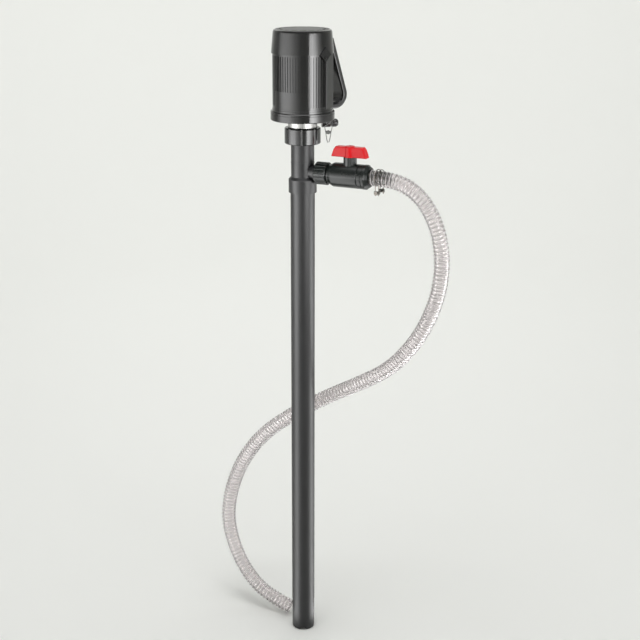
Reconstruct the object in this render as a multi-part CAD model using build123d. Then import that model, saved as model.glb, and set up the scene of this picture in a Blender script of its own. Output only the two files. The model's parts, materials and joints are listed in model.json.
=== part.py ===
from build123d import *
from math import cos, pi, radians, sin, sqrt, tan
import os

# Electric drum pump: a motor on a collar, a union nut, a tee, a long suction tube with a driven
# impeller at its foot, and a branch with a ball valve, a hose barb and a clear delivery hose.
# Millimetres. Z is up along the suction tube, X runs along the branch, and the origin lies on the
# tube's axis at the lower mouth of the tee, where a drum bung takes hold of the tube.

# Clearances
seat_gap = 0.1          # between pieces of one body that fit into each other
move_gap = 0.3          # between pieces that move past each other
running_gap = 0.05      # shaft in its bearing, seal or bush
cut_past = 1.0          # how far a cutting solid runs past the face that it opens

# Suction tube and foot
tube_r = 25.0
tube_wall = 3.7
tube_length_below = 930.0
tube_in_socket = 22.0
tube_end_step = 0.4
foot_length = 70.0
foot_step = 0.5
foot_wall = 3.5
foot_spigot_length = 15.0
foot_arch_width = 18.0
foot_arch_height = 5.0
foot_arch_count = 4
foot_edge_round = 2.0
foot_inlet_angle = -65.0

# Shaft, impeller and the vanes above it
shaft_r = 5.0
impeller_hub_r = 9.0
impeller_length = 24.0
impeller_blades = 3
impeller_twist = 75.0
impeller_tip_gap = 0.6
blade_thickness = 2.0
impeller_above_foot = 20.0
impeller_nut_length = 8.0
vane_count = 5
vane_length = 16.0
vane_twist = -32.0
vane_thickness = 1.8
vane_above_impeller = 4.0
carrier_wall = 2.0
bush_wall = 1.2
guide_count = 3
guide_length = 12.0
guide_arm = 3.0
guide_hub_wall = 3.5

# Tee
socket_wall = 3.7
socket_height = 27.0
socket_chamfer = 5.0
neck_wall = 2.4
tee_top = 118.0
neck_top = 102.0
thread_r = 28.8
neck_ring_height = 60.0
neck_ring_proud = 0.5
neck_ring_width = 2.0
partition_base = 62.0
partition_bore_r = 6.5
seal_outer_r = 11.0
seal_length = 7.0
bearing_outer_r = 13.0
bearing_width = 8.0
shield_half_width = 1.6
shield_recess = 0.8
seal_case_wall = 1.5
seal_web_height = 3.0
branch_height = 42.0
branch_r = 15.5
branch_bore_r = 11.0
branch_spigot_start = 33.0
branch_spigot_end = 48.0
branch_spigot_r = 19.0
face_ring_r = 1.25

# Union nut and the motor's collar
nut_r = 36.5
nut_base = 100.0
nut_top = 132.0
nut_lip = 10.0
nut_lobes = 8
nut_groove_r = 2.4
nut_edge = 1.5
collar_neck_r = 23.0
collar_r = 29.5
collar_top = 148.0
collar_spigot_length = 8.0
collar_bore_r = 17.0
ring_groove = 1.0
ring_r = 28.5
ring_thickness = 3.4
collar_screw_circle = 24.0
collar_screw_count = 3
collar_screw_angle = 30.0
collar_screw_depth = 8.0
collar_screw_head_r = 3.2
spigot_ring_r = 0.95

# Coupling between the motor shaft and the drive shaft
coupling_r = 14.0
coupling_base = 86.0
coupling_split = 95.0
coupling_dog = 8.0
coupling_top = 112.0
dog_count = 3
dog_angle = 55.0

# Motor
base_r = 64.4
base_height = 18.0
base_floor = 5.0
base_wall = 6.0
base_rim = 3.4
step_height = 8.0
step_inset = 0.9
base_ridge = 0.7
base_ridge_width = 1.2
base_ridge_drop = 4.0
step_ridge_height = 3.5
shaft_hole_gap = 1.5
boss_r = 20.0
base_screw_inset = 14.4
base_screw_count = 3
base_screw_angle = 205.0
screw_r = 2.0
screw_head_r = 4.0
screw_head = 2.6
screw_depth = 3.5
screw_slot = 1.0
housing_wall = 3.5
housing_height = 106.0
groove_pitch_count = 66
groove_width = 2.2
groove_depth = 1.1
groove_margin = 4.0
pad_margin = 34.0
pad_from = -128.0
pad_to = -52.0
panel_angle = 0.0
panel_width = 30.0
panel_proud = 0.4
seam_width = 4.6
seam_depth = 1.6
cap_overhang = 2.3
cap_taper = 3.5
cap_height = 46.0
cap_wall = 3.0
cap_round = 5.0
cap_lip = 5.0
cap_lip_wall = 2.5
vent_inset = 13.9
vent_width = 3.0
vent_arc = 15.0
vent_count = 16
tongue_angle = -18.0
tongue_width = 30.0
tongue_height = 28.0
tongue_proud = 1.2
tongue_screw_drop = 6.0

# Inside the motor
stator_rise = 10.0
stator_back = 11.0
pole_angle = 100.0
rotor_gap = 1.0
field_depth = 25.6
coil_height = 9.0
winding_height = 7.0
winding_inset = 4.0
slot_count = 12
commutator_r = 16.0
commutator_rise = 10.0
commutator_gap = 1.0
commutator_height = 15.0
brush_width = 8.0
brush_height = 9.0
holder_wall = 1.2
bracket_drop = 14.0
bracket_height = 8.0
bracket_hub_floor = 2.0
bracket_hub_wall = 4.0
bracket_ring = 5.0
bracket_arm = 12.0
fan_rise = 6.0
fan_inset = 13.6
fan_blade = 14.0
fan_blades = 12
shaft_end_rise = 20.0

# Carry handle
handle_angle = 60.0
handle_width = 40.0
handle_thickness = 11.0
handle_reach = 38.8
handle_drop = 20.8
handle_rise = 5.6
handle_bend = 21.8
handle_root = 1.7

# Cable gland, under the rim of the motor base
gland_angle = 35.0
gland_inset = 18.4
gland_boss_r = 8.5
gland_boss_inner = 7.0
gland_boss = 10.0
gland_hex_r = 7.5
gland_hex = 5.0
gland_nut_r = 8.2
gland_nut = 11.0
gland_stem_r = 6.3
gland_stem_wall = 1.0
cable_bore_r = 4.25
cable_duct_r = 5.0

# Earthing clip, hung under the motor base
clip_angle = 5.0
clip_view_angle = 25.0
clip_inset = 9.4
clip_pivot_drop = 4.1
clip_length = 39.5
clip_pin_drop = 19.0
clip_half_width = 8.0
clip_sheet = 1.5
clip_depth = 8.0
clip_pin_r = 1.0
pivot_pin_r = 1.2

# Ball valve on the branch, measured from the tube's axis
tail_flange_length = 3.4
branch_nut_r = 23.0
branch_nut_start = 32.5
branch_nut_end = 58.5
branch_nut_lip = 6.5
small_nut_ribs = 20
valve_start = 60.0
valve_collar_end = 63.0
valve_collar_r = 20.0
valve_barrel_r = 24.5
valve_barrel_end = 127.0
valve_shoulder = 9.5
valve_thread_r = 20.5
valve_thread_length = 12.0
tail_depth = 6.0
chamber_r = 18.0
stem_at = 105.0
ball_r = 17.0
seat_length = 11.0
seat_start = 84.0
end_nut_r = 25.0
end_nut_end = 150.0
end_nut_lip = 7.0
end_nut_ring = 6.0
end_nut_groove = 1.0
end_nut_neck_r = 20.0
bonnet_r = 13.5
bonnet_top = 79.5
bonnet_ribs = 16
bonnet_groove_r = 1.4
stem_r = 5.0
stem_slot = 4.0
stem_blade = 5.0
stem_square = 6.5
lever_socket_roof = 8.0
lever_screw_r = 1.5
lever_screw_head_r = 3.2
lever_bottom_length = 75.5
lever_top_length = 63.0
lever_height = 20.8
lever_width = 19.0
lever_hub_r = 12.5
lever_hub_height = 22.3
lever_wall = 2.6
lever_roof = 4.0

# Hose barb, clamp and hose
barb_end = 191.0
barb_r = 12.2
barb_bore_r = 9.5
barb_ridge = 0.6
barb_ridges = 4
barb_shoulder = 1.5
hose_r = 16.5
hose_start = 151.0
clamp_start = 164.5
clamp_width = 9.0
clamp_wire_r = 1.0
clamp_leg_reach = 12.5
clamp_leg_tail = 6.0
clamp_pin_r = 3.4
clamp_pin_over = 0.8
clamp_bolt_r = 2.2
clamp_bolt_drop = 27.0
clamp_bolt_end = 5.9
clamp_head_r = 4.0
clamp_head = 3.0
clamp_nut_length = 3.4

# Heights and radii worked out from the sizes above
tube_bore_r = tube_r - tube_wall
tube_end_r = tube_r - tube_end_step
socket_r = tube_r + socket_wall
neck_r = tube_bore_r + neck_wall
foot_r = tube_r - foot_step
foot_top = -tube_length_below
foot_bottom = foot_top - foot_length
impeller_base = foot_top + impeller_above_foot
impeller_top = impeller_base + impeller_length
vane_base = impeller_top + vane_above_impeller
bush_r = shaft_r + running_gap + bush_wall
carrier_hub_r = bush_r + 2.0
seal_base = partition_base + 6.0
pump_bearing_base = seal_base + seal_length
chamber_base = pump_bearing_base + bearing_width
ring_base = tee_top + move_gap
base_bottom = collar_top
base_top = base_bottom + base_height
housing_base = base_top + step_height
housing_top = housing_base + housing_height
step_r = base_r - base_rim
housing_r = step_r - step_inset
housing_bore_r = housing_r - housing_wall
cap_base_r = housing_r + cap_overhang
cap_top_r = cap_base_r - cap_taper
cap_top = housing_top + cap_height
base_screw_circle = base_r - base_screw_inset
stator_base = housing_base + stator_rise
rotor_r = housing_bore_r - field_depth
winding_r = rotor_r - winding_inset
bracket_base = housing_top - bracket_drop
commutator_base = bracket_base - bracket_hub_floor - commutator_gap - commutator_height
stator_top = commutator_base - commutator_rise
fan_base = housing_top + fan_rise
fan_r = housing_bore_r - fan_inset
motor_shaft_top = fan_base + shaft_end_rise
handle_low = base_top + handle_rise
handle_bar_path = ((cap_top_r - handle_root, cap_top - handle_drop), (housing_r + handle_reach, handle_low),
                   (step_r - handle_root, handle_low))
gland_circle = base_r - gland_inset
gland_height = base_bottom - gland_boss_r
clip_circle = base_r - clip_inset
clip_pivot = base_bottom - clip_pivot_drop

# The hose's route, chosen against the photograph: out of the barb, a loop down on the right,
# behind the tube, and a loop on the left that ends at the foot.
hose_points = [
    (hose_start, 0, branch_height), (200, 0, branch_height), (248, -1, 22), (281, -2, -17), (301, 0, -70),
    (306, 2, -134), (292, 7, -208), (251, 20, -291), (184, 40, -370), (103, 52, -421), (28, 57, -463),
    (-48, 50, -512), (-118, 50, -568), (-174, 56, -638), (-209, 57, -716), (-221, 52, -796),
    (-201, 45, -866), (-160, 37, -927), (-103, 29, -965), (-46, 30, -981)]


def turned(*corners):
    """Solid turned about the upright axis from its (radius, height) corners."""
    outline = Polyline(*[(r, 0, z) for r, z in corners], close=True)
    return revolve(make_face(outline), Axis.Z)


def tube(outer, inner, bottom, top):
    """Upright tube between two heights."""
    return turned((inner, bottom), (outer, bottom), (outer, top), (inner, top))


def rod(radius, bottom, top):
    """Upright round rod between two heights."""
    return Pos(0, 0, (bottom + top) / 2) * Cylinder(radius, top - bottom)


def block(x0, x1, y0, y1, z0, z1):
    """Box between two corners."""
    return Pos((x0 + x1) / 2, (y0 + y1) / 2, (z0 + z1) / 2) * Box(x1 - x0, y1 - y0, z1 - z0)


def around(solid, count, start=0.0):
    """Copies of a solid, evenly spaced about the upright axis."""
    return [Rot(0, 0, start + 360 / count * turn) * solid for turn in range(count)]


def on_branch(solid):
    """Lays an upright solid along the branch, its height becoming the distance from the tube."""
    return Pos(0, 0, branch_height) * Rot(0, 90, 0) * solid


def o_ring(radius, section, height):
    """Rubber ring lying level."""
    return Pos(0, 0, height) * Torus(radius, section)


def ridged(radius, bottom, top, count, groove, edge):
    """Round nut blank with upright grip grooves and broken edges."""
    blank = turned((0, bottom), (radius - edge, bottom), (radius, bottom + edge), (radius, top - edge),
                   (radius - edge, top), (0, top))
    cut = Pos(radius + groove * 0.35, 0, 0) * rod(groove, bottom - 1, top + 1)
    return blank - around(cut, count, 180 / count)


def save(name, *solids):
    """Writes one sub-part."""
    shape = solids[0] if len(solids) == 1 else Compound(children=list(solids))
    export_step(shape, f"parts/{name}.step")


def make_suction_tube():
    """Plain tube, turned down a little where the tee's socket takes it."""
    save("suction_tube", turned((tube_bore_r, foot_top), (tube_r, foot_top), (tube_r, 0), (tube_end_r, 0),
                                (tube_end_r, tube_in_socket), (tube_bore_r, tube_in_socket)))


def make_foot_strainer():
    """Foot with shallow arched inlets in its rim and a spigot up into the tube."""
    inner = foot_r - foot_wall
    spigot_r = tube_bore_r - seat_gap
    spigot_bore = spigot_r - foot_wall
    spigot_top = foot_top + foot_spigot_length
    body = turned((inner, foot_bottom), (foot_r - foot_edge_round, foot_bottom),
                  (foot_r, foot_bottom + foot_edge_round), (foot_r, foot_top), (spigot_r, foot_top),
                  (spigot_r, spigot_top), (spigot_bore, spigot_top), (spigot_bore, foot_top - foot_wall),
                  (inner, foot_top - 2 * foot_wall))
    arch_r = (foot_arch_width ** 2 / 4 + foot_arch_height ** 2) / (2 * foot_arch_height)
    arch_centre = foot_bottom + foot_arch_height - arch_r
    arch = Pos(0, 0, arch_centre) * Rot(0, 90, 0) * rod(arch_r, 0, tube_r + cut_past)
    body -= around(arch, foot_arch_count, foot_inlet_angle)
    save("foot_strainer", body)


def blade(inner, outer, thickness, bottom, length, twist):
    """Twisted blade, drawn through four turned sections."""
    steps = 4
    sections = []
    for step in range(steps):
        part = step / (steps - 1)
        plane = Plane.XY.offset(bottom + length * part).rotated((0, 0, twist * part))
        sections.append(plane * Pos((inner + outer) / 2, 0) * Rectangle(outer - inner, thickness))
    return loft(sections)


def make_impeller():
    tip_r = tube_bore_r - impeller_tip_gap
    hub = turned((shaft_r + seat_gap, impeller_base), (impeller_hub_r - 2, impeller_base),
                 (impeller_hub_r, impeller_base + 5), (impeller_hub_r, impeller_top),
                 (shaft_r + seat_gap, impeller_top))
    wing = blade(impeller_hub_r - 1.5, tip_r + 1, blade_thickness, impeller_base + 3,
                 impeller_length - 5, impeller_twist)
    wing &= tube(tip_r, impeller_hub_r - 1, impeller_base, impeller_top)
    save("impeller", hub + around(wing, impeller_blades))
    nut_top = impeller_base - seat_gap
    nut = extrude(Plane.XY.offset(nut_top) * RegularPolygon(impeller_hub_r - 1, 6), -impeller_nut_length)
    save("impeller_nut", nut - rod(shaft_r + seat_gap, nut_top - 5, nut_top + 1))


def make_vane_carrier():
    """Ring of still vanes above the impeller, with the lowest shaft bush in its hub."""
    outer = tube_bore_r - seat_gap
    top = vane_base + vane_length
    ring = tube(outer, outer - carrier_wall, vane_base, top)
    hub = tube(carrier_hub_r, bush_r, vane_base, top)
    vane = blade(carrier_hub_r - 1, outer, vane_thickness, vane_base + 0.5, vane_length - 1, vane_twist)
    vane &= tube(outer - carrier_wall / 2, carrier_hub_r - 0.5, vane_base, top)
    save("vane_carrier", ring + hub + around(vane, vane_count))
    save("foot_bush", tube(bush_r, shaft_r + running_gap, vane_base, top))


def make_shaft_guides():
    """Three alike guides that steady the long shaft inside the tube."""
    outer = tube_bore_r - seat_gap
    bore = shaft_r + running_gap
    guides = []
    for index in range(guide_count):
        height = foot_top + tube_length_below / (guide_count + 1) * (index + 1)
        top = height + guide_length
        ring = tube(outer, outer - carrier_wall, height, top)
        hub = tube(bore + guide_hub_wall, bore, height, top)
        arm = block(bore + guide_hub_wall / 2, outer - carrier_wall / 2, -guide_arm / 2, guide_arm / 2,
                    height, top)
        guides.append(ring + hub + around(arm, 3))
    save("shaft_guides", *guides)


def make_drive_shaft():
    save("drive_shaft", rod(shaft_r, impeller_base - 5, coupling_split - 1))


def make_tee():
    """Tee: socket for the tube, neck with the seal and bearing seats, threaded top and side branch."""
    body = turned((0, 0), (socket_r, 0), (socket_r, socket_height),
                  (neck_r, socket_height + socket_chamfer), (neck_r, neck_ring_height),
                  (neck_r + neck_ring_proud, neck_ring_height),
                  (neck_r + neck_ring_proud, neck_ring_height + neck_ring_width),
                  (neck_r, neck_ring_height + neck_ring_width), (neck_r, neck_top), (thread_r, neck_top),
                  (thread_r, tee_top), (0, tee_top))
    body += on_branch(rod(branch_r, neck_r / 2, branch_spigot_end))
    body += on_branch(rod(branch_spigot_r, branch_spigot_start, branch_spigot_end))
    body -= rod(tube_end_r + seat_gap, -cut_past, tube_in_socket)
    body -= rod(tube_bore_r, 0, partition_base)
    body -= rod(partition_bore_r, partition_base - cut_past, seal_base + cut_past)
    body -= rod(seal_outer_r, seal_base, pump_bearing_base)
    body -= rod(bearing_outer_r, pump_bearing_base, chamber_base)
    body -= rod(tube_bore_r, chamber_base, tee_top + cut_past)
    body -= on_branch(rod(branch_bore_r, 0, branch_spigot_end + cut_past))
    groove_r = (branch_bore_r + branch_spigot_r) / 2
    groove_half = face_ring_r + 2.5 * seat_gap
    body -= on_branch(tube(groove_r + groove_half, groove_r - groove_half,
                           branch_spigot_end - 2 * face_ring_r, branch_spigot_end + cut_past))
    save("discharge_tee", body)
    save("branch_o_ring", on_branch(o_ring(groove_r, face_ring_r, branch_spigot_end - face_ring_r)))


def make_seal_and_bearings():
    """Lip seal and three alike ball bearings, each a plain closed ring with recessed shields."""
    bore = shaft_r + running_gap
    case_r = seal_outer_r - seal_case_wall
    web = seal_base + seal_web_height
    seal = turned((bore, seal_base), (bore + 1, seal_base), (bore + 2.5, web), (case_r, web),
                  (case_r, seal_base), (seal_outer_r, seal_base), (seal_outer_r, pump_bearing_base),
                  (bore, pump_bearing_base))
    save("shaft_seal", seal)
    places = (pump_bearing_base, base_bottom + base_floor, bracket_base)
    save("ball_bearings", *[bearing(bottom) for bottom in places])


def bearing(bottom):
    """Ball bearing with its two shields set back from the faces of the rings."""
    bore = shaft_r + running_gap
    outer = bearing_outer_r - seat_gap / 2
    middle = (bore + outer) / 2
    top = bottom + bearing_width - seat_gap
    ring = tube(outer, bore, bottom + seat_gap, top)
    for low, high in ((bottom, bottom + seat_gap + shield_recess), (top - shield_recess, top + seat_gap)):
        ring -= tube(middle + shield_half_width, middle - shield_half_width, low, high)
    return ring


def make_union_nut():
    nut = ridged(nut_r, nut_base, nut_top, nut_lobes, nut_groove_r, nut_edge)
    nut -= rod(thread_r + move_gap, nut_base - 1, nut_top - nut_lip)
    nut -= rod(collar_neck_r + move_gap, nut_base, nut_top + 1)
    save("union_nut", nut)


def make_collar():
    """Bright collar that carries the motor and hangs the union nut on a snap ring."""
    shoulder = nut_top + move_gap
    groove_r = collar_neck_r - ring_groove
    spigot_r = tube_bore_r - seat_gap
    ring_top = ring_base + ring_thickness
    seal_groove = tee_top - collar_spigot_length / 2
    spigot_low = tee_top - collar_spigot_length
    collar = turned((collar_bore_r, spigot_low), (spigot_r, spigot_low), (spigot_r, tee_top + seat_gap),
                    (groove_r, tee_top + seat_gap), (groove_r, ring_top), (collar_neck_r, ring_top),
                    (collar_neck_r, shoulder), (collar_r - 1, shoulder), (collar_r, shoulder + 1),
                    (collar_r, collar_top), (collar_bore_r, collar_top))
    groove_half = spigot_ring_r + 1.5 * seat_gap
    collar -= tube(spigot_r + cut_past, spigot_r - 2 * spigot_ring_r - seat_gap,
                   seal_groove - groove_half, seal_groove + groove_half)
    hole = rod(screw_r, collar_top - collar_screw_depth, collar_top + cut_past)
    collar -= around(Pos(collar_screw_circle, 0, 0) * hole, collar_screw_count, collar_screw_angle)
    save("mounting_collar", collar)
    save("nut_snap_ring", tube(ring_r, groove_r + seat_gap, ring_base, ring_top - seat_gap))
    save("collar_o_ring", o_ring(spigot_r - spigot_ring_r + running_gap, spigot_ring_r, seal_groove))
    head_base = base_bottom + base_floor
    screw = rod(screw_r - seat_gap, collar_top - collar_screw_depth + 1, head_base + 1)
    screw += rod(collar_screw_head_r, head_base, head_base + screw_head)
    screw = Pos(collar_screw_circle, 0, 0) * screw
    save("collar_screws", *around(screw, collar_screw_count, collar_screw_angle))


def make_coupling():
    """Two jaw halves, one on each shaft, that slip together when the motor is dropped in."""
    hole_r = shaft_r + seat_gap

    def dogs(bottom, top, start):
        sector = turned_sector(coupling_r - seat_gap, hole_r + 1, bottom, top, dog_angle)
        return around(sector, dog_count, start)

    dog_top = coupling_split + coupling_dog
    lower = tube(coupling_r, hole_r, coupling_base, coupling_split)
    upper = tube(coupling_r, hole_r, dog_top, coupling_top)
    save("lower_coupling_half", lower + dogs(coupling_split - 1, dog_top - seat_gap, 0))
    save("upper_coupling_half", upper + dogs(coupling_split + seat_gap, dog_top + 1, 180 / dog_count))


def turned_sector(outer, inner, bottom, top, angle):
    """Part of an upright tube, centred on the X direction."""
    outline = Polyline((inner, 0, bottom), (outer, 0, bottom), (outer, 0, top), (inner, 0, top),
                       close=True)
    return Rot(0, 0, -angle / 2) * revolve(make_face(outline), Axis.Z, angle)


def make_motor_base():
    """Dished base plate: floor, rim, step for the housing and the pocket of the lower bearing."""
    floor_top = base_bottom + base_floor
    rim_in = step_r - base_wall
    hole_r = shaft_r + shaft_hole_gap
    ridge_top = base_top - base_ridge_drop
    ridge_low = ridge_top - base_ridge_width
    step_ridge = housing_base - step_ridge_height
    pocket_top = floor_top + bearing_width
    base = turned((hole_r, base_bottom), (base_r - 1, base_bottom), (base_r, base_bottom + 1),
                  (base_r, ridge_low), (base_r - base_ridge, ridge_low), (base_r - base_ridge, ridge_top),
                  (base_r, ridge_top), (base_r, base_top - 1), (base_r - 1, base_top), (step_r, base_top),
                  (step_r, step_ridge), (step_r - base_ridge, step_ridge),
                  (step_r - base_ridge, housing_base), (rim_in, housing_base), (rim_in, floor_top),
                  (boss_r, floor_top), (boss_r, pocket_top), (bearing_outer_r, pocket_top),
                  (bearing_outer_r, floor_top), (hole_r, floor_top))
    base += gland_place(rod(gland_boss_r, -gland_boss_inner, gland_boss))
    base += gland_place(block(-gland_boss_r - 1, 0, -gland_boss_r, gland_boss_r,
                              -gland_boss_inner, gland_boss))
    base -= gland_place(rod(gland_stem_r + seat_gap, 2 - gland_boss_inner, gland_boss + cut_past))
    duct_place = Rot(0, 0, gland_angle) * Pos(gland_circle - 1, 0, 0)
    base -= duct_place * rod(cable_duct_r, gland_height, floor_top + cut_past)
    for screw_place in around(Pos(base_screw_circle, 0, 0), base_screw_count, base_screw_angle):
        base -= screw_place * rod(screw_r, base_bottom - cut_past, base_bottom + screw_depth + 0.5)
    for screw_place in around(Pos(collar_screw_circle, 0, 0), collar_screw_count, collar_screw_angle):
        base -= screw_place * rod(screw_r + seat_gap, base_bottom - cut_past, floor_top + cut_past)
        base -= screw_place * rod(screw_head_r, floor_top, pocket_top + cut_past)
    save("motor_base", base)
    head_low = base_bottom - screw_head
    head = rod(screw_head_r, head_low, base_bottom)
    head -= block(-screw_head_r, screw_head_r, -screw_slot / 2, screw_slot / 2,
                  head_low - cut_past, head_low + screw_slot)
    thread = rod(screw_r - seat_gap, base_bottom - screw_head / 5, base_bottom + screw_depth)
    screw = Pos(base_screw_circle, 0, 0) * (head + thread)
    save("base_screws", *around(screw, base_screw_count, base_screw_angle))


def make_housing():
    """Moulded motor shell with upright grooves, a smooth field low at the front and a flat side panel."""
    housing = tube(housing_r, housing_bore_r, housing_base, housing_top)
    panel = block(housing_bore_r + 1, housing_r + panel_proud, -panel_width / 2, panel_width / 2,
                  housing_base, housing_top)
    housing += Rot(0, 0, panel_angle) * panel - Rot(0, 0, tongue_angle) * tongue_prism(move_gap) \
        - rod(housing_r - 0.5, housing_base, housing_top)
    panel_half = panel_width / 2 / housing_r * 180 / pi
    seam_half = seam_width / 2 / housing_r * 180 / pi
    groove_top = housing_top - groove_margin
    grooves = []
    for index in range(groove_pitch_count):
        angle = -180 + 360 / groove_pitch_count * index
        if abs(angle - panel_angle) < panel_half + 1 or abs(angle - tongue_angle) < seam_half + 1:
            continue
        on_pad = pad_from < angle < pad_to
        low = housing_base + (pad_margin if on_pad else groove_margin)
        cut = block(housing_r - groove_depth, housing_r + cut_past, -groove_width / 2, groove_width / 2,
                    low, groove_top)
        grooves.append(Rot(0, 0, angle) * cut)
    housing -= grooves
    seam_top = housing_top - tongue_height / 2
    seam = block(housing_r - seam_depth, housing_r + 1, -seam_width / 2, seam_width / 2,
                 housing_base + groove_margin, seam_top)
    housing -= Rot(0, 0, tongue_angle) * seam
    for angle in (tongue_angle, tongue_angle + 180):
        hole = tongue_place(angle, rod(screw_r - 0.5, housing_bore_r - 1, housing_r + 1))
        housing -= hole
    save("motor_housing", housing)


def tongue_prism(grow):
    """Pointed tongue on the cap's side, from inside the cap's wall outwards, grown by a margin."""
    half_height = tongue_height / 2 + grow
    half_width = tongue_width / 2 + grow
    outline = Polyline((0, housing_top - half_height), (half_width, housing_top),
                       (0, housing_top + half_height), (-half_width, housing_top), close=True)
    inside = cap_top_r - 1
    face = Plane(origin=(inside, 0, 0), x_dir=(0, 1, 0), z_dir=(1, 0, 0)) * make_face(outline)
    return extrude(face, cap_base_r + tongue_proud - inside)


def tongue_place(angle, solid):
    """Turns an upright solid to point outwards at the height of the cap's screws."""
    height = housing_top - tongue_screw_drop
    return Rot(0, 0, angle) * Pos(0, 0, height) * Rot(0, 90, 0) * solid


def make_cap():
    """Motor cap: a tapered cup with a rounded rim, air slots in its top and two pointed tongues."""
    outer = turned((0, housing_top), (cap_base_r, housing_top), (cap_top_r, cap_top - cap_round),
                   (cap_top_r - 1.4, cap_top - 1.6), (cap_top_r - cap_round, cap_top), (0, cap_top + 1))
    lip_r = housing_bore_r - seat_gap
    lip_bore_r = lip_r - cap_lip_wall
    lip_top = housing_top + cap_lip
    hollow = turned((0, housing_top - cut_past), (lip_bore_r, housing_top - cut_past),
                    (lip_bore_r, lip_top), (cap_base_r - cap_wall, lip_top),
                    (cap_top_r - cap_wall, cap_top - cap_round),
                    (cap_top_r - cap_wall - 4, cap_top - cap_wall), (0, cap_top - cap_wall + 1))
    cap = outer - hollow
    cap += tube(lip_r, lip_bore_r, housing_top - cap_lip / 2, housing_top + 1)
    vent_circle = cap_top_r - vent_inset
    slot = turned_sector(vent_circle + vent_width / 2, vent_circle - vent_width / 2,
                         cap_top - 3 * cap_wall, cap_top + 2 * cut_past, vent_arc)
    cap -= around(slot, vent_count, 5)
    tongue_r = cap_base_r + tongue_proud
    tongue = tongue_prism(0) - rod(housing_r + seat_gap, housing_top - tongue_height, housing_top)
    for angle in (tongue_angle, tongue_angle + 180):
        cap += Rot(0, 0, angle) * tongue
        cap -= tongue_place(angle, rod(screw_r, cap_top_r - 2, tongue_r + 1))
    save("motor_cap", cap)
    screw = rod(screw_r - 0.5 - seat_gap, housing_bore_r + 0.5, tongue_r)
    screw += rod(screw_head_r - 1.2, tongue_r, tongue_r + 1.4)
    screw -= block(-screw_head_r, screw_head_r, -0.4, 0.4, tongue_r + 0.7, tongue_r + 2)
    save("cap_screws", *[tongue_place(angle, screw) for angle in (tongue_angle, tongue_angle + 180)])


def make_handle():
    """D-shaped carry handle: a flat bar with rounded edges, from the cap down to the motor base."""
    line = FilletPolyline(*handle_bar_path, radius=handle_bend)
    band = trace(Plane.XY * line, handle_thickness)
    bar = extrude(Plane.XZ * band, handle_width / 2, both=True)
    bar = fillet(bar.edges().filter_by(GeomType.LINE, reverse=True), handle_thickness * 0.3)
    bar -= rod(step_r + seat_gap, base_top - 1, housing_top)
    bar -= turned((0, housing_top), (cap_base_r + seat_gap, housing_top),
                  (cap_top_r + seat_gap, cap_top - cap_round), (0, cap_top - cap_round))
    save("motor_handle", Rot(0, 0, handle_angle) * bar)


def make_stator():
    """Field core with two pole shoes, and a coil round each pole."""
    core_r = housing_bore_r - seat_gap
    inner = rotor_r + rotor_gap
    back = core_r - stator_back
    core = tube(core_r, back, stator_base, stator_top)
    shoe = turned_sector(inner + 5, inner, stator_base, stator_top, pole_angle)
    web = turned_sector(back + 1, inner + 4, stator_base, stator_top, pole_angle / 2)
    for turn in (tongue_angle, tongue_angle + 180):
        core += Rot(0, 0, turn + 90) * (shoe + web)
    save("field_core", core)
    coil_in = inner + 5.5
    coil_out = back - 0.5
    coils = []
    for turn in (tongue_angle, tongue_angle + 180):
        whole = turned_sector(coil_out, coil_in, stator_base - coil_height, stator_top + coil_height,
                              pole_angle * 0.9)
        window = turned_sector(coil_out + 1, coil_in - 1, stator_base - seat_gap, stator_top + seat_gap,
                               pole_angle / 2 + 2)
        coils.append(Rot(0, 0, turn + 90) * (whole - window))
    save("field_coils", *coils)


def make_rotor():
    """Turning parts of the motor: core, winding, commutator, shaft and fan."""
    hole_r = shaft_r + seat_gap
    core = tube(rotor_r, hole_r, stator_base, stator_top)
    slot = block(rotor_r - 8, rotor_r + 1, -1.5, 1.5, stator_base - 1, stator_top + 1)
    save("armature_core", core - around(slot, slot_count))
    low = tube(winding_r, hole_r + 3, stator_base - winding_height, stator_base - seat_gap)
    high = tube(winding_r, hole_r + 3, stator_top + seat_gap, stator_top + winding_height)
    save("armature_winding", low, high)
    bars = tube(commutator_r, hole_r, commutator_base, commutator_base + commutator_height)
    gap = block(commutator_r - 1.2, commutator_r + 1, -0.4, 0.4, commutator_base - 1,
                commutator_base + commutator_height + 1)
    save("commutator", bars - around(gap, slot_count))
    save("motor_shaft", rod(shaft_r, coupling_split + coupling_dog, motor_shaft_top))
    plate = turned((hole_r, fan_base), (fan_r, fan_base), (fan_r, fan_base + 2), (14, fan_base + 2),
                   (10, fan_base + fan_blade), (hole_r, fan_base + fan_blade))
    wing = block(11, fan_r - 1, -0.9, 0.9, fan_base + 1, fan_base + fan_blade)
    blade_top = fan_base + fan_blade
    wing -= turned((fan_r - 14, blade_top + 1), (fan_r + 1, blade_top + 1), (fan_r + 1, blade_top - 6))
    save("cooling_fan", plate + around(wing, fan_blades))


def make_brush_gear():
    """Carbon brushes in square brass tubes that reach in from the upper bracket's ring."""
    middle = commutator_base + commutator_height / 2
    holder_end = housing_bore_r - seat_gap
    half_w = brush_width / 2
    half_h = brush_height / 2
    brush = block(commutator_r + 0.1, commutator_r + 20, -half_w, half_w, middle - half_h, middle + half_h)
    brush -= rod(commutator_r + running_gap, middle - half_h - 1, middle + half_h + 1)
    outer = holder_wall + seat_gap
    holder = block(commutator_r + 6, holder_end + 1, -half_w - outer, half_w + outer,
                   middle - half_h - outer, middle + half_h + outer)
    holder -= block(0, holder_end + 2, -half_w - seat_gap, half_w + seat_gap,
                    middle - half_h - seat_gap, middle + half_h + seat_gap)
    holder &= rod(holder_end, middle - 20, middle + 20)
    save("carbon_brushes", *around(brush, 2, tongue_angle))
    save("brush_holders", *around(holder, 2, tongue_angle))


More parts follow.
